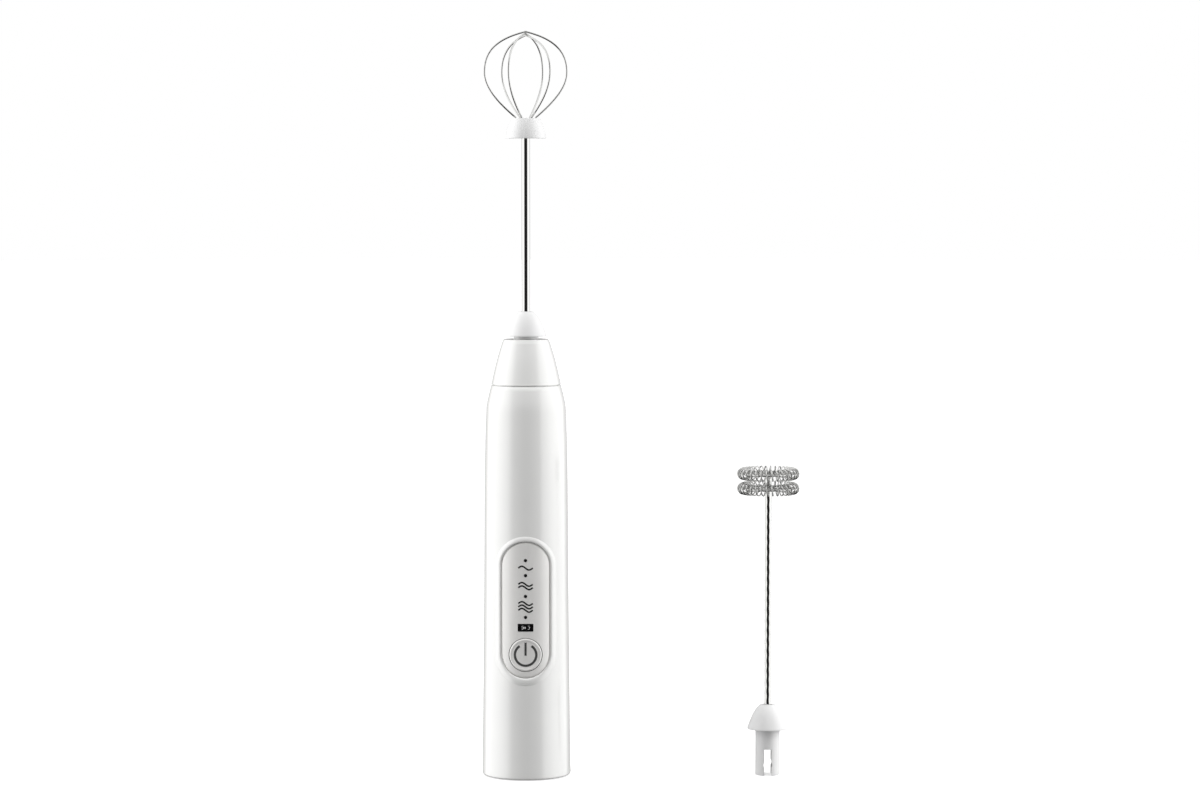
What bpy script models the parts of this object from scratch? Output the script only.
"""Rechargeable hand-held milk frother: a white battery handle with a control
panel, a balloon whisk plugged into its nose, and a spare frothing head that
stands beside it.  Metres, +Z up.  The origin is the centre of the foot."""
import math

import bmesh
import bpy
from mathutils import Matrix, Vector

MM = 0.001

# ---- driving sizes of the handle -------------------------------------------------------------
BASE_R = 15.0 * MM          # outer radius of the handle at its foot
MOUTH_Z = 148.3 * MM        # height of the nose mouth, the top of the handle
NOSE_H = 15.5 * MM          # height of the nose dome
SEAM_Z = MOUTH_Z - NOSE_H   # joint of housing and nose
SHOULDER_Z = SEAM_Z - 8.2 * MM
MOUTH_R = 7.75 * MM         # outer radii at those heights
SEAM_R = 11.75 * MM
SHOULDER_R = 13.4 * MM
DOME_BULGE = 0.25 * MM      # how far the dome swells past a straight cone
WALL = 1.8 * MM
FOOT_EDGE = 0.8 * MM        # rounding of the foot's outer edge
SPIGOT_H = 5.0 * MM         # the nose's spigot in the housing
SPIGOT_T = 1.3 * MM
NOSE_LIP_R = 0.5 * MM
NOSE_ROOF_T = 2.5 * MM
BORE_WALL = 1.2 * MM        # wall of the tube round the nose bore
CAP_T = 2.0 * MM            # plate of the foot
CAP_RIM_H = 6.0 * MM
CAP_RIM_T = 1.2 * MM
CAP_EDGE = 0.4 * MM

# ---- clearances ------------------------------------------------------------------------------
GAP = 0.3 * MM              # between pieces that seat on each other
FIT = 0.2 * MM              # between a pin and its hole
RUN = 0.6 * MM              # between a turning piece and its housing

# ---- control panel ---------------------------------------------------------------------------
PANEL_LOW = 34.8 * MM
PANEL_HIGH = 81.0 * MM
PANEL_HALF = 8.35 * MM      # half width of the stadium-shaped panel
PANEL_T = 1.4 * MM
RIM_W = 1.7 * MM            # width of the raised rim around the panel
RIM_RISE = 0.35 * MM
PANEL_LENGTH = PANEL_HIGH - PANEL_LOW
BUTTON_Z = PANEL_LOW + 0.173 * PANEL_LENGTH
BUTTON_R = 5.7 * MM
BUTTON_STEM_R = 1.8 * MM
BUTTON_TRAVEL = 0.4 * MM
BUTTON_T = 1.3 * MM
WINDOW_Z = PANEL_LOW + 0.372 * PANEL_LENGTH
WINDOW_HALF_W = 2.65 * MM
WINDOW_HALF_H = 1.35 * MM
WINDOW_SINK = 0.1 * MM      # how far the window and the lamps lie under the face
WINDOW_T = 1.2 * MM
LAMP_ZS = tuple(PANEL_LOW + share * PANEL_LENGTH for share in (0.866, 0.755, 0.602, 0.448))
LAMP_HOLE_R = 0.5 * MM
LAMP_R = 0.35 * MM
GUIDE_HALF_W = 1.1 * MM     # bar that carries light to the lamps
GUIDE_END = 1.4 * MM
GUIDE_T = 0.8 * MM

# ---- inside the handle -----------------------------------------------------------------------
BOARD_T = 1.2 * MM
BOARD_HALF_W = 7.0 * MM
BOARD_REACH = math.sqrt((SHOULDER_R - WALL) ** 2 - BOARD_HALF_W ** 2)
BOARD_Y = 0.65 * MM - BOARD_REACH   # middle of the control board, clear of the wall
SWITCH_HALF = 3.0 * MM
SWITCH_T = 1.5 * MM
SWITCH_WELL = 1.2 * MM
PLUNGER_R = 1.3 * MM
PLUNGER_SEAT = 0.6 * MM     # depth of the plunger in its well
CELL_R = 7.0 * MM           # battery cell, 14 mm across and 50 mm long
CELL_LENGTH = 49.0 * MM
CELL_Y = 3.6 * MM
CELL_LOW = 25.0 * MM
CELL_EDGE = 0.5 * MM
NUB_R = 2.6 * MM
NUB_H = 1.0 * MM
TAB_T = 0.4 * MM
TAB_HALF_W = 2.0 * MM
CHASSIS_T = 1.5 * MM
CHASSIS_HALF_W = 9.0 * MM
POST_R = 1.7 * MM
POST_HOLE_R = 0.9 * MM
SCREW_R = 0.65 * MM
SCREW_HEAD_R = 1.3 * MM
SCREW_HEAD_T = 0.8 * MM
LEAD_R = 0.45 * MM
BOARD_LOW = PANEL_LOW
BOARD_HIGH = PANEL_HIGH - MM
BOARD_SCREW_ZS = {"lower": BOARD_LOW + 2 * MM, "upper": BOARD_HIGH - 2 * MM}
BOARD_BACK = BOARD_Y + BOARD_T / 2
CELL_HIGH = CELL_LOW + CELL_LENGTH
SHELF_UPPER = CELL_HIGH + NUB_H + GAP + TAB_T + GAP
SHELF_LOWER = CELL_LOW - GAP - TAB_T - GAP - CHASSIS_T
CHASSIS_BACK = CELL_Y - CELL_R - 0.7 * MM
CHASSIS_FRONT = CHASSIS_BACK - CHASSIS_T

# ---- charging port ---------------------------------------------------------------------------
PORT_Z = 13.4 * MM
PORT_HALF_W = 4.47 * MM
PORT_HALF_H = 1.63 * MM
PORT_DEPTH = 7.3 * MM
PORT_SHELL_T = 0.35 * MM
PORT_MOUTH_Y = BASE_R - 2.6 * MM
TONGUE_HALF_W = 3.3 * MM
TONGUE_T = 0.7 * MM
CHARGE_BOARD_T = 1.0 * MM
CHARGE_BOARD_HIGH = PORT_Z - PORT_HALF_H - GAP
CHARGE_BOARD_LOW = CHARGE_BOARD_HIGH - CHARGE_BOARD_T
CHARGE_BOARD_FRONT = -6.0 * MM
CHARGE_SCREW_X = 4.8 * MM
CHARGE_SCREW_Y = -3.6 * MM
PLUG_HALF_W = 3.7 * MM      # plug of the cover in the port
PLUG_HALF_H = 1.0 * MM
PLUG_CLEARANCE = 0.7 * MM
COVER_HALF_W = 6.2 * MM
COVER_HALF_H = 3.9 * MM
COVER_T = 0.8 * MM
COVER_OPENING = 0.7 * MM    # the port opening is this much wider than the socket

# ---- motor -----------------------------------------------------------------------------------
MOTOR_R = 10.2 * MM
MOTOR_FLAT = 7.7 * MM       # half the distance over the can's flats
CAN_T = 0.8 * MM
CAN_LENGTH = 28.0 * MM
CAN_HIGH = SHOULDER_Z - 6.6 * MM
CAN_LOW = CAN_HIGH - CAN_LENGTH
BOSS_R = 3.1 * MM
BOSS_H = 1.6 * MM
MAGNET_T = 2.0 * MM
MAGNET_HALF_ANGLE = 38.0    # degrees each side of the X axis
ARMATURE_R = 6.2 * MM
ARMATURE_LOW = CAN_LOW + 6.5 * MM
ARMATURE_HIGH = CAN_HIGH - 7.5 * MM
COMMUTATOR_R = 2.4 * MM
SHAFT_R = 1.0 * MM          # motor shaft
MOUNT_T = 2.4 * MM
MOUNT_LOW = CAN_HIGH + GAP
MOUNT_HIGH = MOUNT_LOW + MOUNT_T
MOTOR_SCREW_Y = 5.0 * MM
CAP_LOW = CAN_LOW - 2.8 * MM
CAP_SPIGOT_HIGH = CAN_LOW + 1.5 * MM
BUSH_R = 2.3 * MM
COMMUTATOR_LOW = CAP_SPIGOT_HIGH + 0.4 * MM
COMMUTATOR_HIGH = COMMUTATOR_LOW + 3.0 * MM
WINDING_T = ARMATURE_LOW - COMMUTATOR_HIGH - 3 * FIT
WINDING_INNER = 2.9 * MM
POLE_HUB_R = 2.6 * MM
POLE_NECK = 1.1 * MM
POLE_TIP_T = 0.8 * MM
POLE_HALF_ANGLE = 46.0      # degrees each side of a pole's middle
BRUSH_T = 1.5 * MM
BRUSH_ARM_T = 0.4 * MM
BRUSH_HALF_W = 1.2 * MM

# ---- drive spindle and the plug hub of a frothing head ---------------------------------------
SPINDLE_R = 2.4 * MM
SPINDLE_LOW = MOUNT_HIGH + 3.9 * MM
SPINDLE_BORE_H = 8.0 * MM   # depth of the motor shaft's bore in the spindle
COLLAR_H = 3.0 * MM
COLLAR_LEDGE = 0.8 * MM
SPINDLE_CHAMFER = 0.6 * MM
PIN_R = 1.0 * MM
PIN_SHORT = 0.25 * MM       # the pin ends this far inside the socket's face
SOCKET_BORE = SPINDLE_R + GAP
SOCKET_R = SOCKET_BORE + 1.45 * MM
SOCKET_LENGTH = 15.7 * MM
SLOT_LENGTH = 9.0 * MM
NOTCH_R = 1.5 * MM
NOTCH_RISE = 3.7 * MM       # middle of the notch over the socket's foot
SKIRT_R = 6.9 * MM
SKIRT_H = 8.3 * MM
SKIRT_TOP_R = 2.75 * MM
SKIRT_LIFT = 1.1 * MM       # the skirt turns this far above the nose mouth
HUB_Z = MOUTH_Z + SKIRT_LIFT
PIN_Z = HUB_Z - SOCKET_LENGTH + NOTCH_RISE
SPINDLE_HIGH = PIN_Z + 3.6 * MM
BORE_R = SOCKET_R + RUN     # bore of the nose

# ---- balloon whisk ---------------------------------------------------------------------------
WHISK_SHAFT_R = 1.4 * MM
SHAFT_SEAT = 3.0 * MM       # depth of a shaft in its hub
SHAFT_SHOWN = 58.3 * MM     # shaft between the plug hub and the head
HEAD_LOW = HUB_Z + SKIRT_H + SHAFT_SHOWN
HEAD_H = 6.8 * MM           # hub that holds the wires
HEAD_HIGH = HEAD_LOW + HEAD_H
HEAD_R = 6.8 * MM
HEAD_TOP_R = 4.6 * MM
WIRE_R = 0.3 * MM
WIRE_SEAT_R = 3.4 * MM      # circle of the wire ends
WIRE_DEPTH = 2.6 * MM
WIRE_RISE = 0.2 * MM        # straight run of a wire above the hub
BALLOON_R = 13.9 * MM
BALLOON_Z = HEAD_HIGH + 15.4 * MM   # height of the widest place
BALLOON_TOP = HEAD_HIGH + 29.0 * MM
FLARE = (5.4 * MM, 4.6 * MM)            # how the wires lean out as they leave the hub
UNDERSIDE = 5.6 * MM                    # upright run below the widest place
CROWN = ((1.0, 0.65), (0.5, 0.87))      # pull of the curve above it, as shares of width and rise
LOOP_STEP = 0.9 * MM        # each loop crosses this far under the next
LOOP_NAMES = ("outer", "middle", "inner")
LOOP_FIRST_ANGLE = 6.7      # degrees

# ---- spare frothing head ---------------------------------------------------------------------
SPARE_X = 82.0 * MM
SPARE_SHAFT_R = 1.17 * MM
SPARE_SHAFT_LENGTH = 74.0 * MM
RING_R = 8.3 * MM           # middle radius of each sprung ring
COIL_R = 2.15 * MM          # radius of the coil that forms the ring
COIL_WIRE_R = 0.25 * MM
COIL_TURNS = 28
HOOP_WIRE_R = 0.35 * MM     # hoop inside each coil
COLLAR_T = 0.7 * MM         # collar of a hoop on the shaft
COLLAR_HALF_H = 0.8 * MM

SHELL_SEGMENTS = 48
ROUND_SEGMENTS = 28
SMALL_SEGMENTS = 16

# colour (linear RGB), roughness, metallic
FINISHES = {
    "pearl_abs": ((0.86, 0.86, 0.85), 0.18, 0.0),
    "hub_abs": ((0.84, 0.84, 0.84), 0.3, 0.0),
    "silver_panel": ((0.72, 0.72, 0.7), 0.34, 0.2),
    "black_gloss": ((0.01, 0.01, 0.012), 0.08, 0.0),
    "polished_steel": ((0.72, 0.72, 0.72), 0.08, 1.0),
    "motor_steel": ((0.5, 0.5, 0.49), 0.32, 1.0),
    "magnet": ((0.05, 0.05, 0.055), 0.6, 0.0),
    "copper": ((0.72, 0.27, 0.12), 0.3, 1.0),
    "brass": ((0.7, 0.5, 0.22), 0.3, 1.0),
    "board": ((0.03, 0.2, 0.08), 0.45, 0.0),
    "inner_abs": ((0.1, 0.1, 0.105), 0.5, 0.0),
    "cell_wrap": ((0.05, 0.16, 0.42), 0.35, 0.0),
    "nickel": ((0.62, 0.6, 0.55), 0.28, 1.0),
    "rubber": ((0.75, 0.75, 0.74), 0.7, 0.0),
    "seal": ((0.04, 0.04, 0.04), 0.75, 0.0),
    "carbon": ((0.03, 0.03, 0.03), 0.6, 0.0),
}


# ---- making and finishing objects ------------------------------------------------------------
def clear_scene():
    for obj in list(bpy.data.objects):
        bpy.data.objects.remove(obj, do_unlink=True)


def make_material(name, finish):
    """One Principled material for one node."""
    colour, roughness, metallic = FINISHES[finish]
    mat = bpy.data.materials.new(name)
    mat.use_nodes = True
    shader = mat.node_tree.nodes["Principled BSDF"]
    shader.inputs["Base Color"].default_value = (*colour, 1.0)
    shader.inputs["Roughness"].default_value = roughness
    shader.inputs["Metallic"].default_value = metallic
    return mat


def make_object(name, bm, finish, parent=None, location=(0, 0, 0), sharp=32.0):
    """Turn a closed bmesh into a named, smooth-shaded object."""
    bmesh.ops.recalc_face_normals(bm, faces=bm.faces)
    mesh = bpy.data.meshes.new(name)
    bm.to_mesh(mesh)
    bm.free()
    mesh.shade_smooth()
    mesh.set_sharp_from_angle(angle=math.radians(sharp))
    mesh.materials.append(make_material(name, finish))
    obj = bpy.data.objects.new(name, mesh)
    bpy.context.collection.objects.link(obj)
    obj.location = location
    obj.parent = parent
    return obj


def make_axis(name, location=(0, 0, 0)):
    """An empty on a joint's axis, which carries the pieces that move with it."""
    axis = bpy.data.objects.new(name, None)
    bpy.context.collection.objects.link(axis)
    axis.location = location
    return axis


def make_tool(name, bm, parent=None, location=(0, 0, 0)):
    """A hidden solid for a Boolean."""
    tool = make_object(name, bm, "inner_abs", parent, location)
    tool.hide_render = True
    tool.display_type = "WIRE"
    return tool


def combine(obj, operation, *tools):
    """Add one exact Boolean per tool: DIFFERENCE, UNION or INTERSECT."""
    for tool in tools:
        modifier = obj.modifiers.new(tool.name, "BOOLEAN")
        modifier.operation = operation
        modifier.solver = "EXACT"
        modifier.object = tool


# ---- basic solids ----------------------------------------------------------------------------
def lathe(profile, segments=ROUND_SEGMENTS):
    """Spin an outline of (radius, height) points about Z into a closed solid."""
    bm = bmesh.new()
    verts = [bm.verts.new((radius, 0, height)) for radius, height in profile]
    for start, end in zip(verts, verts[1:] + verts[:1]):
        if start.co.x > 0 or end.co.x > 0:
            bm.edges.new((start, end))
    bmesh.ops.spin(bm, geom=bm.verts[:] + bm.edges[:], cent=(0, 0, 0), axis=(0, 0, 1),
                   angle=math.tau, steps=segments, use_merge=True)
    bmesh.ops.remove_doubles(bm, verts=bm.verts, dist=0.001 * MM)
    return bm


def ring(inner, outer, low, high, segments=ROUND_SEGMENTS):
    """A plain tube, or a disc where the inner radius is 0."""
    return lathe([(inner, low), (outer, low), (outer, high), (inner, high)], segments)


def box(low, high):
    """A block between two corners."""
    low, high = Vector(low), Vector(high)
    size = high - low
    matrix = Matrix.Translation((low + high) / 2) @ Matrix.Diagonal((*size, 1.0))
    bm = bmesh.new()
    bmesh.ops.create_cube(bm, size=1.0, matrix=matrix)
    return bm


def rod(radius, start, end, segments=SMALL_SEGMENTS):
    """A round bar from one point to another."""
    start, end = Vector(start), Vector(end)
    run = end - start
    turn = Vector((0, 0, 1)).rotation_difference(run).to_matrix().to_4x4()
    bm = bmesh.new()
    bmesh.ops.create_cone(bm, cap_ends=True, segments=segments, radius1=radius,
                          radius2=radius, depth=run.length,
                          matrix=Matrix.Translation((start + end) / 2) @ turn)
    return bm


def prism(outline, low, high, axis="y"):
    """Extrude a flat outline; its points are (x, z) along Y or (y, z) along X or (x, y)
    along Z."""
    place = {"y": lambda a, b, c: (a, c, b), "x": lambda a, b, c: (c, a, b),
             "z": lambda a, b, c: (a, b, c)}[axis]
    bm = bmesh.new()
    face = bm.faces.new([bm.verts.new(place(a, b, low)) for a, b in outline])
    made = bmesh.ops.extrude_face_region(bm, geom=[face])
    moved = [item for item in made["geom"] if isinstance(item, bmesh.types.BMVert)]
    bmesh.ops.translate(bm, verts=moved, vec=place(0, 0, high - low))
    return bm


def arc(radius, start, end, steps, centre=(0, 0)):
    """Points on an arc; the angles are in degrees."""
    angles = [math.radians(start + (end - start) * i / steps) for i in range(steps + 1)]
    return [(centre[0] + radius * math.cos(a), centre[1] + radius * math.sin(a))
            for a in angles]


def stadium(half_width, low, high, steps=12):
    """An upright outline with round ends."""
    top = arc(half_width, 0, 180, steps, (0, high - half_width))
    bottom = arc(half_width, 180, 360, steps, (0, low + half_width))
    return top + bottom


def slot_outline(half_width, half_height, middle, steps=6):
    """An outline lying on its side with round ends."""
    reach = half_width - half_height
    right = arc(half_height, -90, 90, steps, (reach, middle))
    left = arc(half_height, 90, 270, steps, (-reach, middle))
    return right + left


def sweep(points, radius, sides=6, closed=False):
    """A round wire along a list of points, carried without twist."""
    points = [Vector(point) for point in points]
    count = len(points)
    bm = bmesh.new()
    rings = []
    side = None
    for i, point in enumerate(points):
        ahead = points[(i + 1) % count] if closed or i < count - 1 else point
        behind = points[i - 1] if closed or i else point
        along = (ahead - behind).normalized()
        guess = side if side else along.orthogonal()
        side = (guess - along * guess.dot(along)).normalized()
        other = along.cross(side)
        turns = [math.tau * k / sides for k in range(sides)]
        rings.append([bm.verts.new(point + radius * (side * math.cos(t) + other * math.sin(t)))
                      for t in turns])
    pairs = list(zip(rings, rings[1:]))
    if closed:
        pairs.append((rings[-1], rings[0]))
    for lower, upper in pairs:
        for k in range(sides):
            j = (k + 1) % sides
            bm.faces.new((lower[k], lower[j], upper[j], upper[k]))
    if not closed:
        bm.faces.new(rings[0])
        bm.faces.new(rings[-1])
    return bm


def bezier(start, control, end, steps):
    """Points on a quadratic curve between two ends."""
    points = []
    for i in range(steps + 1):
        t = i / steps
        weights = ((1 - t) ** 2, 2 * t * (1 - t), t ** 2)
        points.append(tuple(sum(w * p[k] for w, p in zip(weights, (start, control, end)))
                            for k in range(2)))
    return points


# ---- outline of the handle -------------------------------------------------------------------
def handle_stations():
    """(height, radius) down the handle: slim barrel, rounded shoulder, nose dome."""
    taper = BASE_R - SHOULDER_R
    dome_z = (SEAM_Z + MOUTH_Z) / 2
    dome_r = (SEAM_R + MOUTH_R) / 2 + DOME_BULGE
    return ((0.0, BASE_R), (0.48 * SHOULDER_Z, BASE_R - 0.42 * taper),
            (0.8 * SHOULDER_Z, BASE_R - 0.62 * taper), (SHOULDER_Z, SHOULDER_R),
            (SEAM_Z, SEAM_R), (dome_z, dome_r), (MOUTH_Z, MOUTH_R))


def slope_at(stations, i):
    """Slope at a station: the harmonic mean of its neighbours, so nothing overshoots."""
    slopes = [(b[1] - a[1]) / (b[0] - a[0]) for a, b in zip(stations, stations[1:])]
    if i in (0, len(slopes)):
        return slopes[min(i, len(slopes) - 1)]
    before, after = slopes[i - 1], slopes[i]
    return 2 * before * after / (before + after) if before * after > 0 else 0.0


def handle_radius(height):
    """Outer radius of the handle at a height."""
    stations = handle_stations()
    height = min(max(height, stations[0][0]), stations[-1][0])
    i = max(k for k in range(len(stations) - 1) if stations[k][0] <= height)
    (z0, r0), (z1, r1) = stations[i], stations[i + 1]
    span = z1 - z0
    t = (height - z0) / span
    return (r0 * (1 + 2 * t) * (1 - t) ** 2 + r1 * t * t * (3 - 2 * t)
            + span * slope_at(stations, i) * t * (1 - t) ** 2
            + span * slope_at(stations, i + 1) * t * t * (t - 1))


def outline(low, high, steps, inset=0.0):
    """(radius, height) points on the handle's outline, moved in by an inset."""
    heights = [low + (high - low) * i / steps for i in range(steps + 1)]
    return [(handle_radius(height) - inset, height) for height in heights]


def skin(inset, thickness, low, high, steps=8):
    """A tube that follows the handle's outline."""
    inner = outline(low, high, steps, inset + thickness)
    return lathe(outline(low, high, steps, inset) + inner[::-1], SHELL_SEGMENTS)


def front(outline_points):
    """Extrude an upright outline through the front wall of the handle."""
    return prism(outline_points, -BASE_R - 2 * MM, -BASE_R / 3)


def rear(outline_points):
    """Extrude an upright outline through the rear wall of the handle."""
    return prism(outline_points, BASE_R / 3, BASE_R + 2 * MM)


# ---- shells of the handle --------------------------------------------------------------------
def panel_outline(margin, foot=0.0):
    """The panel's stadium, larger by a margin and longer at its foot."""
    return stadium(PANEL_HALF + margin, PANEL_LOW - margin - foot, PANEL_HIGH + margin)


def make_panel_rim():
    """The raised rim around the panel, as a tool that joins the housing."""
    rim = make_tool("tool_panel_rim", skin(-RIM_RISE, WALL / 2 + RIM_RISE,
                                           PANEL_LOW - 4 * RIM_W, PANEL_HIGH + 2 * RIM_W))
    combine(rim, "INTERSECT", make_tool("tool_rim_edge", front(panel_outline(RIM_W, RIM_W / 2))))
    return rim


def make_cover_recess():
    """The shallow pocket that the port cover lies in."""
    low, high = PORT_Z - 2 * COVER_HALF_H, PORT_Z + 2 * COVER_HALF_H
    recess = make_tool("tool_cover_recess", skin(-MM, COVER_T + FIT + MM, low, high))
    edge = slot_outline(COVER_HALF_W + FIT, COVER_HALF_H + FIT, PORT_Z, 8)
    combine(recess, "INTERSECT", make_tool("tool_recess_edge", rear(edge)))
    return recess


def make_housing():
    """The barrel: one tube, open at the foot and the seam, with panel and port openings."""
    foot = arc(FOOT_EDGE, -90, 0, 3, (BASE_R - FOOT_EDGE, GAP + FOOT_EDGE))
    bend_z = 0.85 * SHOULDER_Z
    outer = outline(GAP + FOOT_EDGE, bend_z, 8)[1:] + outline(bend_z, SEAM_Z, 7)[1:]
    inner = (outline(GAP, bend_z, 3, WALL) + outline(bend_z, SEAM_Z, 6, WALL)[1:])[::-1]
    housing = make_object("housing", lathe(foot + outer + inner, SHELL_SEGMENTS), "pearl_abs")
    combine(housing, "UNION", make_panel_rim())
    opening = slot_outline(PORT_HALF_W + COVER_OPENING, PORT_HALF_H + COVER_OPENING, PORT_Z)
    combine(housing, "DIFFERENCE", make_tool("tool_panel_opening", front(panel_outline(0.0))),
            make_cover_recess(), make_tool("tool_port_opening", rear(opening)))


def make_nose_cone():
    """The dome: a spigot in the housing, an outer wall, and a bore for the plug."""
    spigot_r = SEAM_R - WALL - GAP
    spigot_in = spigot_r - SPIGOT_T
    spigot_low = SEAM_Z - SPIGOT_H
    tube_r = BORE_R + BORE_WALL
    tube_low = SEAM_Z + GAP
    roof = MOUTH_Z - NOSE_ROOF_T
    lip = arc(NOSE_LIP_R, 0, 90, 2, (MOUTH_R - NOSE_LIP_R, MOUTH_Z - NOSE_LIP_R))
    points = [(spigot_in, spigot_low), (spigot_r, spigot_low), (spigot_r, SEAM_Z + GAP)]
    points += outline(SEAM_Z + GAP, MOUTH_Z - 1.8 * NOSE_LIP_R, 6) + lip
    points += [(BORE_R, MOUTH_Z), (BORE_R, tube_low), (tube_r, tube_low), (tube_r, roof)]
    points += outline(SEAM_Z + 4 * MM, roof, 3, WALL)[::-1]
    points += [(spigot_in, SEAM_Z + MM)]
    make_object("nose_cone", lathe(points, SHELL_SEGMENTS), "pearl_abs")


def make_base_cap():
    """The foot: a flat plate with a skirt inside the housing and posts for the board."""
    edge = BASE_R - WALL - GAP
    points = [(0, 0), (edge - CAP_EDGE, 0), (edge, CAP_EDGE), (edge, CAP_RIM_H),
              (edge - CAP_RIM_T, CAP_RIM_H), (edge - CAP_RIM_T, CAP_T), (0, CAP_T)]
    cap = make_object("base_cap", lathe(points, SHELL_SEGMENTS), "pearl_abs")
    for x in charge_screw_places():
        post = rod(POST_R, (x, CHARGE_SCREW_Y, MM), (x, CHARGE_SCREW_Y, CHARGE_BOARD_LOW - GAP))
        combine(cap, "UNION", make_tool("tool_cap_post", post))
    for x in charge_screw_places():
        hole = rod(POST_HOLE_R, (x, CHARGE_SCREW_Y, CAP_T + MM), (x, CHARGE_SCREW_Y, PORT_Z))
        combine(cap, "DIFFERENCE", make_tool("tool_cap_hole", hole))


# ---- control panel ---------------------------------------------------------------------------
def make_control_panel():
    """The silver insert, with holes for the button, the window and four lamps."""
    panel = make_object("control_panel",
                        skin(0, PANEL_T, PANEL_LOW - 2 * MM, PANEL_HIGH + 2 * MM), "silver_panel")
    combine(panel, "INTERSECT", make_tool("tool_panel_edge", front(panel_outline(-FIT))))
    button_hole = rod(BUTTON_R, (0, -BASE_R - MM, BUTTON_Z), (0, -BASE_R / 3, BUTTON_Z), 28)
    window_hole = box((-WINDOW_HALF_W, -BASE_R - MM, WINDOW_Z - WINDOW_HALF_H),
                      (WINDOW_HALF_W, -BASE_R / 3, WINDOW_Z + WINDOW_HALF_H))
    combine(panel, "DIFFERENCE", make_tool("tool_button_hole", button_hole),
            make_tool("tool_window_hole", window_hole))
    for z in LAMP_ZS:
        hole = rod(LAMP_HOLE_R, (0, -BASE_R - MM, z), (0, -BASE_R / 3, z), 10)
        combine(panel, "DIFFERENCE", make_tool("tool_lamp_hole", hole))


def make_display_window():
    """The black window of the display, a little below the panel's face."""
    window = make_object("display_window",
                         skin(WINDOW_SINK, WINDOW_T, WINDOW_Z - 3 * WINDOW_HALF_H,
                              WINDOW_Z + 3 * WINDOW_HALF_H), "black_gloss")
    reach_x = WINDOW_HALF_W - FIT / 2
    reach_z = WINDOW_HALF_H - FIT / 2
    pane = box((-reach_x, -BASE_R - MM, WINDOW_Z - reach_z), (reach_x, 0, WINDOW_Z + reach_z))
    combine(window, "INTERSECT", make_tool("tool_window_edge", pane))


def make_light_guide():
    """One bar behind the panel with a pip in each lamp hole."""
    face = -(handle_radius(max(LAMP_ZS)) - PANEL_T - GAP)
    bar = box((-GUIDE_HALF_W, face, min(LAMP_ZS) - GUIDE_END),
              (GUIDE_HALF_W, face + GUIDE_T, max(LAMP_ZS) + GUIDE_END))
    guide = make_object("light_guide", bar, "black_gloss")
    for z in LAMP_ZS:
        pip = rod(LAMP_R, (0, WINDOW_SINK - handle_radius(z), z),
                  (0, face + GUIDE_T / 2, z), 10)
        combine(guide, "UNION", make_tool("tool_pip", pip))


def make_power_button(parent):
    """The round key: a curved cap with a stem over the switch.  Its origin is on its axis."""
    cap = skin(0, BUTTON_T, BUTTON_Z - 2 * BUTTON_R, BUTTON_Z + 2 * BUTTON_R)
    bmesh.ops.translate(cap, verts=cap.verts, vec=(0, 0, -BUTTON_Z))
    button = make_object("power_button", cap, "silver_panel", parent)
    face = rod(BUTTON_R - FIT, (0, -BASE_R - MM, 0), (0, -BASE_R / 3, 0), 28)
    combine(button, "INTERSECT", make_tool("tool_button_face", face, parent))
    top = MM - handle_radius(BUTTON_Z)
    stem = rod(BUTTON_STEM_R, (0, top, 0), (0, plunger_tip() - GAP, 0))
    combine(button, "UNION", make_tool("tool_button_stem", stem, parent))
    plunger = rod(PLUNGER_R, (0, plunger_tip(), 0), (0, switch_face() + PLUNGER_SEAT, 0))
    make_object("switch_plunger", plunger, "inner_abs", parent)


def switch_face():
    """Y of the tact switch's front, over the control board."""
    return BOARD_Y - BOARD_T / 2 - GAP - SWITCH_T


def plunger_tip():
    """Y of the plunger's front: it stands out of the switch by more than its travel."""
    return switch_face() - BUTTON_TRAVEL - FIT


# ---- electronics -----------------------------------------------------------------------------
def charge_screw_places():
    return (-CHARGE_SCREW_X, CHARGE_SCREW_X)


def make_control_board():
    """The long board behind the panel, with two screw holes."""
    low = (-BOARD_HALF_W, BOARD_Y - BOARD_T / 2, BOARD_LOW)
    board = make_object("control_board", box(low, (BOARD_HALF_W, BOARD_BACK, BOARD_HIGH)), "board")
    for z in BOARD_SCREW_ZS.values():
        hole = rod(SCREW_R + FIT, (0, BOARD_Y - 2 * MM, z), (0, BOARD_Y + 2 * MM, z))
        combine(board, "DIFFERENCE", make_tool("tool_board_hole", hole))


def make_tact_switch():
    """The switch under the power button, with a well for its plunger."""
    low = (-SWITCH_HALF, switch_face(), BUTTON_Z - SWITCH_HALF)
    high = (SWITCH_HALF, switch_face() + SWITCH_T, BUTTON_Z + SWITCH_HALF)
    switch = make_object("tact_switch", box(low, high), "inner_abs")
    well = rod(PLUNGER_R + FIT, (0, switch_face() - MM, BUTTON_Z),
               (0, switch_face() + SWITCH_WELL, BUTTON_Z))
    combine(switch, "DIFFERENCE", make_tool("tool_switch_well", well))


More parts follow.
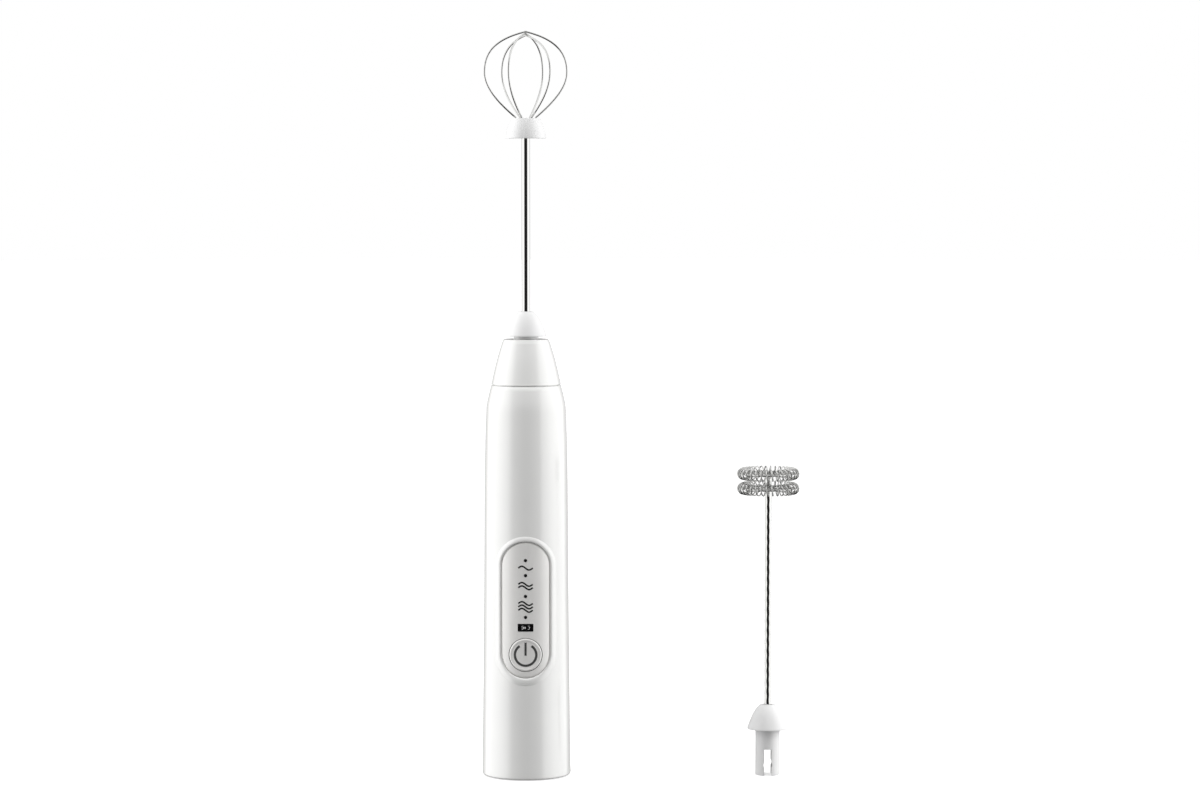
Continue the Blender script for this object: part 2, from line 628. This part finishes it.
def make_chassis():
    """The inner frame: a backbone with a shelf at each end of the cell and two posts."""
    low = (-CHASSIS_HALF_W, CHASSIS_FRONT, SHELF_LOWER)
    plate = box(low, (CHASSIS_HALF_W, CHASSIS_BACK, BOARD_HIGH + MM))
    chassis = make_object("chassis", plate, "inner_abs")
    for z in (SHELF_LOWER, SHELF_UPPER):
        radius = handle_radius(z + CHASSIS_T) - WALL - GAP
        corner = math.degrees(math.asin((CHASSIS_FRONT + GAP) / radius))
        shelf = prism(arc(radius, corner, 180 - corner, 24), z, z + CHASSIS_T, "z")
        combine(chassis, "UNION", make_tool("tool_shelf", shelf))
    for z in BOARD_SCREW_ZS.values():
        post = rod(POST_R, (0, CHASSIS_BACK - 0.5 * MM, z), (0, BOARD_BACK + GAP, z))
        combine(chassis, "UNION", make_tool("tool_post", post))
    for z in BOARD_SCREW_ZS.values():
        hole = rod(POST_HOLE_R, (0, CHASSIS_BACK - 0.4 * MM, z), (0, BOARD_Y, z))
        combine(chassis, "DIFFERENCE", make_tool("tool_post_hole", hole))


def make_screw(name, head, tip):
    """A cap screw from the underside of its head to its tip."""
    head, tip = Vector(head), Vector(tip)
    back = (head - tip).normalized() * SCREW_HEAD_T
    screw = make_object(name, rod(SCREW_R, head + back / 2, tip, 12), "motor_steel")
    combine(screw, "UNION", make_tool("tool_screw_head", rod(SCREW_HEAD_R, head, head + back)))


def make_screws():
    """Screws of the control board, the charging board and the motor."""
    head_y = BOARD_Y - BOARD_T / 2 - GAP
    for place, z in BOARD_SCREW_ZS.items():
        make_screw("board_screw_" + place, (0, head_y, z), (0, CHASSIS_FRONT, z))
    for side, x in zip(("left", "right"), charge_screw_places()):
        make_screw("charge_screw_" + side, (x, CHARGE_SCREW_Y, CHARGE_BOARD_HIGH + GAP),
                   (x, CHARGE_SCREW_Y, CAP_T + 3 * MM))
    for side, y in zip(("front", "rear"), (-MOTOR_SCREW_Y, MOTOR_SCREW_Y)):
        make_screw("motor_screw_" + side, (0, y, MOUNT_HIGH + GAP), (0, y, CAN_HIGH - 1.5 * MM))


def make_battery():
    """The cell with its raised positive end, and a contact tab at each end."""
    points = [(0, CELL_LOW), (CELL_R - CELL_EDGE, CELL_LOW), (CELL_R, CELL_LOW + CELL_EDGE),
              (CELL_R, CELL_HIGH - CELL_EDGE), (CELL_R - CELL_EDGE, CELL_HIGH),
              (NUB_R, CELL_HIGH), (NUB_R, CELL_HIGH + NUB_H), (0, CELL_HIGH + NUB_H)]
    make_object("battery_cell", lathe(points), "cell_wrap", None, (0, CELL_Y, 0))
    places = {"positive": CELL_HIGH + NUB_H + GAP, "negative": CELL_LOW - GAP - TAB_T}
    for pole, z in places.items():
        tab = box((-TAB_HALF_W, CELL_Y - 5 * MM, z), (TAB_HALF_W, CELL_Y + 4 * MM, z + TAB_T))
        make_object("contact_" + pole, tab, "nickel")


def make_charging_port():
    """The horizontal board over the foot and the socket that faces the rear."""
    low = (-BOARD_HALF_W, CHARGE_BOARD_FRONT, CHARGE_BOARD_LOW)
    high = (BOARD_HALF_W, PORT_MOUTH_Y - 2.6 * MM, CHARGE_BOARD_HIGH)
    board = make_object("charge_board", box(low, high), "board")
    for x in charge_screw_places():
        hole = rod(SCREW_R + FIT, (x, CHARGE_SCREW_Y, CHARGE_BOARD_LOW - MM),
                   (x, CHARGE_SCREW_Y, CHARGE_BOARD_HIGH + MM))
        combine(board, "DIFFERENCE", make_tool("tool_charge_hole", hole))
    back = PORT_MOUTH_Y - PORT_DEPTH
    shell = prism(slot_outline(PORT_HALF_W, PORT_HALF_H, PORT_Z), back, PORT_MOUTH_Y)
    socket = make_object("usb_socket", shell, "nickel")
    hollow = prism(slot_outline(PORT_HALF_W - PORT_SHELL_T, PORT_HALF_H - PORT_SHELL_T, PORT_Z),
                   back + 0.8 * MM, PORT_MOUTH_Y + MM)
    tongue = box((-TONGUE_HALF_W, back + 0.4 * MM, PORT_Z - TONGUE_T / 2),
                 (TONGUE_HALF_W, PORT_MOUTH_Y - 0.8 * MM, PORT_Z + TONGUE_T / 2))
    combine(socket, "DIFFERENCE", make_tool("tool_socket_hollow", hollow))
    combine(socket, "UNION", make_tool("tool_socket_tongue", tongue))


def make_port_cover(parent):
    """The rubber flap over the port: a curved oval plate with a short plug."""
    hinge = parent.location
    plate = skin(0, COVER_T, PORT_Z - 2 * COVER_HALF_H, PORT_Z + 2 * COVER_HALF_H)
    edge = rear(slot_outline(COVER_HALF_W, COVER_HALF_H, PORT_Z, 8))
    plug = prism(slot_outline(PLUG_HALF_W, PLUG_HALF_H, PORT_Z),
                 PORT_MOUTH_Y + PLUG_CLEARANCE, handle_radius(PORT_Z) - COVER_T / 2)
    for bm in (plate, edge, plug):
        bmesh.ops.translate(bm, verts=bm.verts, vec=-hinge)
    cover = make_object("port_cover", plate, "rubber", parent)
    combine(cover, "INTERSECT", make_tool("tool_cover_edge", edge, parent))
    combine(cover, "UNION", make_tool("tool_cover_plug", plug, parent))


def make_lead(name, points, finish):
    """A short insulated wire between two boards or terminals."""
    make_object(name, sweep(points, LEAD_R, 6), finish)


def make_leads():
    """Wires from the charging board to the control board, and on to the motor."""
    for side, x in (("left", -1), ("right", 1)):
        finish = "seal" if x < 0 else "copper"
        lower_x = 2.2 * MM * x
        start = Vector((lower_x, -5 * MM, CHARGE_BOARD_HIGH + GAP))
        end = Vector((lower_x, BOARD_Y, BOARD_LOW - GAP))
        bend = [start + (end - start) * t for t in (0.25, 0.5, 0.75)]
        bend = [point + Vector((0, -1.4 * MM * math.sin(math.pi * t), 0))
                for point, t in zip(bend, (0.25, 0.5, 0.75))]
        make_lead("charge_lead_" + side, [start, *bend, end], finish)
        upper_x = 4.0 * MM * x
        route = [(upper_x, BOARD_Y, BOARD_HIGH + GAP), (upper_x, BOARD_Y, BOARD_HIGH + 2 * MM),
                 (upper_x, BOARD_Y / 2 - 2 * MM, CAP_LOW - 2 * MM),
                 (upper_x, BOARD_Y / 2 - MM, CAP_LOW - GAP)]
        make_lead("motor_lead_" + side, route, finish)


# ---- motor -----------------------------------------------------------------------------------

def flatted(inset=0.0, steps=10):
    """The can's outline: a circle with two flats."""
    radius, flat = MOTOR_R - inset, MOTOR_FLAT - inset
    corner = math.degrees(math.asin(flat / radius))
    return arc(radius, -corner, corner, steps) + arc(radius, 180 - corner, 180 + corner, steps)


def make_motor_case():
    """The drawn steel can, its plastic end cap, and the plate that holds it."""
    can = make_object("motor_can", prism(flatted(), CAN_LOW, CAN_HIGH, "z"), "motor_steel")
    hollow = prism(flatted(CAN_T), CAN_LOW - MM, CAN_HIGH - CAN_T, "z")
    boss = ring(0, BOSS_R, CAN_HIGH - CAN_T / 2, CAN_HIGH + BOSS_H)
    bore = ring(0, BUSH_R + FIT, CAN_HIGH - 2 * MM, CAN_HIGH + BOSS_H + MM)
    combine(can, "DIFFERENCE", make_tool("tool_can_hollow", hollow))
    combine(can, "UNION", make_tool("tool_can_boss", boss))
    combine(can, "DIFFERENCE", make_tool("tool_can_bore", bore))
    cap = make_object("motor_end_cap", prism(flatted(), CAP_LOW, CAN_LOW - GAP, "z"), "inner_abs")
    spigot = prism(flatted(CAN_T + FIT), CAN_LOW - MM, CAP_SPIGOT_HIGH, "z")
    bore = ring(0, BUSH_R + FIT, CAP_LOW - MM, CAP_SPIGOT_HIGH + MM)
    combine(cap, "UNION", make_tool("tool_cap_spigot", spigot))
    combine(cap, "DIFFERENCE", make_tool("tool_cap_bore", bore))
    edge = handle_radius(MOUNT_HIGH) - WALL - GAP
    mount = make_object("motor_mount",
                        ring(BOSS_R + GAP, edge, MOUNT_LOW, MOUNT_HIGH, SHELL_SEGMENTS),
                        "inner_abs")
    for y in (-MOTOR_SCREW_Y, MOTOR_SCREW_Y):
        hole = rod(SCREW_R + FIT, (0, y, CAN_HIGH - 2 * MM), (0, y, MOUNT_HIGH + MM))
        tool = make_tool("tool_motor_screw_hole", hole)
        combine(can, "DIFFERENCE", tool)
        combine(mount, "DIFFERENCE", tool)


def make_motor_bearings():
    """A bronze bush at each end of the motor shaft."""
    inner = SHAFT_R + FIT
    make_object("bush_front", ring(inner, BUSH_R, CAN_HIGH - CAN_T, CAN_HIGH + BOSS_H - FIT),
                "brass")
    make_object("bush_rear", ring(inner, BUSH_R, CAP_LOW + FIT, CAP_SPIGOT_HIGH - FIT), "brass")


def make_magnets():
    """Two curved magnets on the round sides of the can."""
    outer = MOTOR_R - CAN_T - GAP
    inner = outer - MAGNET_T
    for side, middle in (("left", 180.0), ("right", 0.0)):
        start, end = middle - MAGNET_HALF_ANGLE, middle + MAGNET_HALF_ANGLE
        outline_points = arc(outer, start, end, 8) + arc(inner, end, start, 8)
        magnet = prism(outline_points, ARMATURE_LOW - MM, ARMATURE_HIGH + MM, "z")
        make_object("magnet_" + side, magnet, "magnet")


def make_brushes():
    """Carbon blocks on spring arms at both sides of the commutator."""
    near = COMMUTATOR_R + FIT
    far = near + BRUSH_T
    outer = far + BRUSH_ARM_T
    low, high = COMMUTATOR_LOW + 0.7 * MM, COMMUTATOR_HIGH - 0.3 * MM
    foot = CAP_SPIGOT_HIGH + GAP
    for side, sign in (("front", -1), ("rear", 1)):
        points = [(sign * near, low), (sign * far, low), (sign * far, foot),
                  (sign * outer, foot), (sign * outer, high), (sign * near, high)]
        make_object("brush_" + side, prism(points, -BRUSH_HALF_W, BRUSH_HALF_W, "x"), "carbon")


def armature_outline():
    """Three T-shaped poles around a round middle."""
    points = []
    inner = ARMATURE_R - POLE_TIP_T
    lean = math.degrees(math.asin(POLE_NECK / POLE_HUB_R))
    for k in range(3):
        middle = 120.0 * k
        reach = POLE_HALF_ANGLE
        neck_angle = math.degrees(math.asin(POLE_NECK / inner))
        points += arc(inner, middle - neck_angle, middle - reach, 4)
        points += arc(ARMATURE_R, middle - reach, middle + reach, 8)
        points += arc(inner, middle + reach, middle + neck_angle, 4)
        points += arc(POLE_HUB_R, middle + lean, middle + 120 - lean, 4)
    return points


def make_rotor(parent):
    """Motor shaft, laminated core, its three windings and the commutator."""
    shaft = rod(SHAFT_R, (0, 0, CAP_LOW + 0.6 * MM), (0, 0, SPINDLE_LOW + SPINDLE_BORE_H - MM))
    make_object("motor_shaft", shaft, "polished_steel", parent)
    core = make_object("armature_core", prism(armature_outline(), ARMATURE_LOW, ARMATURE_HIGH, "z"),
                       "motor_steel", parent)
    bore = rod(SHAFT_R + FIT, (0, 0, COMMUTATOR_LOW - MM), (0, 0, ARMATURE_HIGH + MM))
    combine(core, "DIFFERENCE", make_tool("tool_core_bore", bore, parent))
    neck = POLE_NECK + FIT
    under_tip = ARMATURE_R - POLE_TIP_T - FIT
    outer = math.sqrt(under_tip ** 2 - (neck + WINDING_T) ** 2)
    for k in range(3):
        turn = Matrix.Rotation(math.radians(120.0 * k), 4, "Z")
        coil = box((WINDING_INNER, -neck - WINDING_T, ARMATURE_LOW - FIT - WINDING_T),
                   (outer, neck + WINDING_T, ARMATURE_HIGH + FIT + WINDING_T))
        window = box((0, -neck, ARMATURE_LOW - FIT),
                     (ARMATURE_R, neck, ARMATURE_HIGH + FIT))
        for bm in (coil, window):
            bmesh.ops.transform(bm, matrix=turn, verts=bm.verts)
        winding = make_object("winding_%d" % (k + 1), coil, "copper", parent)
        combine(winding, "DIFFERENCE", make_tool("tool_winding_window", window, parent))
    make_object("commutator", ring(SHAFT_R + FIT, COMMUTATOR_R, COMMUTATOR_LOW, COMMUTATOR_HIGH),
                "copper", parent)


# ---- drive and plug --------------------------------------------------------------------------
def make_drive(parent):
    """The spindle on the motor shaft and the cross pin that turns a plugged-in hub."""
    bore = SHAFT_R + FIT
    collar_r, collar_high = SPINDLE_R + COLLAR_LEDGE, SPINDLE_LOW + COLLAR_H
    bore_high = SPINDLE_LOW + SPINDLE_BORE_H
    points = [(bore, SPINDLE_LOW), (collar_r, SPINDLE_LOW), (collar_r, collar_high),
              (SPINDLE_R, collar_high + COLLAR_LEDGE),
              (SPINDLE_R, SPINDLE_HIGH - SPINDLE_CHAMFER),
              (SPINDLE_R - SPINDLE_CHAMFER, SPINDLE_HIGH),
              (0, SPINDLE_HIGH), (0, bore_high), (bore, bore_high)]
    spindle = make_object("drive_spindle", lathe(points, 24), "polished_steel", parent)
    reach = SOCKET_R - PIN_SHORT
    hole = rod(PIN_R + FIT, (0, -reach, PIN_Z), (0, reach, PIN_Z), 12)
    combine(spindle, "DIFFERENCE", make_tool("tool_pin_hole", hole, parent))
    make_object("cross_pin", rod(PIN_R, (0, -reach, PIN_Z), (0, reach, PIN_Z), 12),
                "polished_steel", parent)


def make_spindle_seal():
    """The lip ring around the spindle, under the nose bore."""
    make_object("spindle_seal",
                ring(SPINDLE_R + FIT, BORE_R + BORE_WALL, SEAM_Z - 2.2 * MM, SEAM_Z), "seal")


def make_plug_hub(name, parent, skirt_z, shaft_r):
    """The moulded hub of a head: a domed skirt over a slotted, notched socket tube."""
    low, top = skirt_z - SOCKET_LENGTH, skirt_z + SKIRT_H
    bore_top = low + SLOT_LENGTH + 1.0 * MM
    seat = shaft_r + FIT
    dome = bezier((SKIRT_R, skirt_z + 0.3 * MM), (4.9 * MM, top - 1.7 * MM),
                  (SKIRT_TOP_R, top), 8)
    points = [(0, bore_top), (SOCKET_BORE, bore_top), (SOCKET_BORE, low),
              (SOCKET_R, low), (SOCKET_R, skirt_z), (SKIRT_R, skirt_z), *dome,
              (seat, top), (seat, top - SHAFT_SEAT), (0, top - SHAFT_SEAT)]
    hub = make_object(name, lathe(points, 28), "hub_abs", parent)
    half = PIN_R + FIT
    slot = box((-half, -SOCKET_R - MM, low - MM), (half, SOCKET_R + MM, low + SLOT_LENGTH))
    notch_z = low + NOTCH_RISE
    notch = rod(NOTCH_R, (0, -SOCKET_R - MM, notch_z), (0, SOCKET_R + MM, notch_z), 14)
    combine(hub, "DIFFERENCE", make_tool("tool_hub_slot", slot, parent),
            make_tool("tool_hub_notch", notch, parent))


# ---- balloon whisk ---------------------------------------------------------------------------
def wire_angles():
    return [LOOP_FIRST_ANGLE + 60.0 * k for k in range(len(LOOP_NAMES))]


def make_whisk_head(parent):
    """The upper hub: a cone with a slot for each of the six wire ends."""
    side = bezier((HEAD_R, HEAD_LOW), (HEAD_R - 0.5 * MM, HEAD_LOW + HEAD_H * 0.6),
                  (HEAD_TOP_R, HEAD_HIGH), 5)
    seat = WHISK_SHAFT_R + FIT
    points = [(0, HEAD_LOW + SHAFT_SEAT + GAP), (seat, HEAD_LOW + SHAFT_SEAT + GAP),
              (seat, HEAD_LOW), *side, (0, HEAD_HIGH)]
    head = make_object("whisk_head_hub", lathe(points, 28), "hub_abs", parent)
    half = WIRE_R + FIT
    for angle in wire_angles():
        for turn in (angle, angle + 180.0):
            slot = box((WIRE_SEAT_R - half, -half, HEAD_HIGH - WIRE_DEPTH - GAP),
                       (WIRE_SEAT_R + half, half, HEAD_HIGH + MM))
            bmesh.ops.rotate(slot, verts=slot.verts,
                             matrix=Matrix.Rotation(math.radians(turn), 3, "Z"))
            combine(head, "DIFFERENCE", make_tool("tool_wire_slot", slot, parent))


def cubic(corners, steps):
    """Points on a cubic curve through its end corners, the first left out."""
    points = []
    for i in range(1, steps + 1):
        t = i / steps
        weights = ((1 - t) ** 3, 3 * t * (1 - t) ** 2, 3 * t * t * (1 - t), t ** 3)
        points.append(tuple(sum(w * p[k] for w, p in zip(weights, corners)) for k in range(2)))
    return points


def loop_side(apex):
    """(radius, height) points up one side of a loop, from its seat to its apex."""
    start = HEAD_HIGH + WIRE_RISE
    rise = apex - BALLOON_Z
    seat = [(WIRE_SEAT_R, HEAD_HIGH - WIRE_DEPTH), (WIRE_SEAT_R, start)]
    lower = [seat[1], (WIRE_SEAT_R + FLARE[0], start + FLARE[1]),
             (BALLOON_R, BALLOON_Z - UNDERSIDE), (BALLOON_R, BALLOON_Z)]
    upper = [lower[3], *[(x * BALLOON_R, BALLOON_Z + z * rise) for x, z in CROWN], (0.0, apex)]
    return seat + cubic(lower, 9) + cubic(upper, 10)


def make_loops(parent):
    """Three wire loops that cross over each other at the top of the balloon."""
    for k, (name, angle) in enumerate(zip(LOOP_NAMES, wire_angles())):
        side = loop_side(BALLOON_TOP - k * LOOP_STEP)
        flat = side + [(-radius, height) for radius, height in side[-2::-1]]
        turn = math.radians(angle)
        points = [(r * math.cos(turn), r * math.sin(turn), z) for r, z in flat]
        make_object("whisk_loop_" + name, sweep(points, WIRE_R, 6), "polished_steel", parent)


def make_whisk(parent):
    """The plugged-in whisk: plug hub, shaft, head hub and loops."""
    make_plug_hub("whisk_hub", parent, HUB_Z, WHISK_SHAFT_R)
    shaft = rod(WHISK_SHAFT_R, (0, 0, HUB_Z + SKIRT_H - SHAFT_SEAT + GAP),
                (0, 0, HEAD_LOW + SHAFT_SEAT), 20)
    make_object("whisk_shaft", shaft, "polished_steel", parent)
    make_whisk_head(parent)
    make_loops(parent)


# ---- spare frothing head ---------------------------------------------------------------------
def circle_points(radius, height, count):
    return [(radius * math.cos(math.tau * i / count), radius * math.sin(math.tau * i / count),
             height) for i in range(count)]


def coil_points(height):
    """A spring bent into a ring: a fine helix around a circle."""
    steps = COIL_TURNS * 6
    points = []
    for i in range(steps):
        around = math.tau * i / steps
        turn = COIL_TURNS * around
        radius = RING_R + COIL_R * math.cos(turn)
        points.append((radius * math.cos(around), radius * math.sin(around),
                       height + COIL_R * math.sin(turn)))
    return points


def make_spare_ring(name, parent, height):
    """One sprung ring on its hoop; two bars carry the hoop from the shaft."""
    coil = sweep(coil_points(height), COIL_WIRE_R, 4, closed=True)
    make_object("froth_coil_" + name, coil, "polished_steel", parent)
    hoop = make_object("froth_hoop_" + name, sweep(circle_points(RING_R, height, 32),
                                                   HOOP_WIRE_R, 6, closed=True),
                       "polished_steel", parent)
    inner = SPARE_SHAFT_R + FIT
    collar = ring(inner, inner + COLLAR_T, height - COLLAR_HALF_H, height + COLLAR_HALF_H,
                  SMALL_SEGMENTS)
    combine(hoop, "UNION", make_tool("tool_collar", collar, parent))
    for sign in (-1, 1):
        bar = rod(COIL_WIRE_R, (sign * (inner + COLLAR_T / 2), 0, height),
                  (sign * RING_R, 0, height), 8)
        combine(hoop, "UNION", make_tool("tool_bar", bar, parent))


def make_spare_head(parent):
    """The spare head: the same plug hub, a thinner shaft and two sprung rings."""
    make_plug_hub("froth_hub", parent, SOCKET_LENGTH, SPARE_SHAFT_R)
    low = SOCKET_LENGTH + SKIRT_H - SHAFT_SEAT + GAP
    high = low + SPARE_SHAFT_LENGTH
    ring_half = COIL_R + COIL_WIRE_R
    lower = high + ring_half
    upper = lower + 2 * ring_half + FIT
    shaft = rod(SPARE_SHAFT_R, (0, 0, low), (0, 0, upper + COLLAR_HALF_H))
    make_object("froth_shaft", shaft, "polished_steel", parent)
    for name, height in (("lower", lower), ("upper", upper)):
        make_spare_ring(name, parent, height)


# ---- the whole frother -----------------------------------------------------------------------
def main():
    clear_scene()
    make_housing()
    make_nose_cone()
    make_base_cap()
    make_control_panel()
    make_display_window()
    make_light_guide()
    make_control_board()
    make_tact_switch()
    make_chassis()
    make_battery()
    make_charging_port()
    make_leads()
    make_screws()
    make_motor_case()
    make_motor_bearings()
    make_magnets()
    make_brushes()
    make_spindle_seal()
    make_power_button(make_axis("button_axis", (0, 0, BUTTON_Z)))
    hinge_z = PORT_Z - COVER_HALF_H
    make_port_cover(make_axis("cover_hinge", (0, handle_radius(hinge_z), hinge_z)))
    drive = make_axis("drive_axis")
    make_rotor(drive)
    make_drive(drive)
    make_whisk(make_axis("whisk_axis"))
    make_spare_head(make_axis("spare_axis", (SPARE_X, 0, 0)))


main()
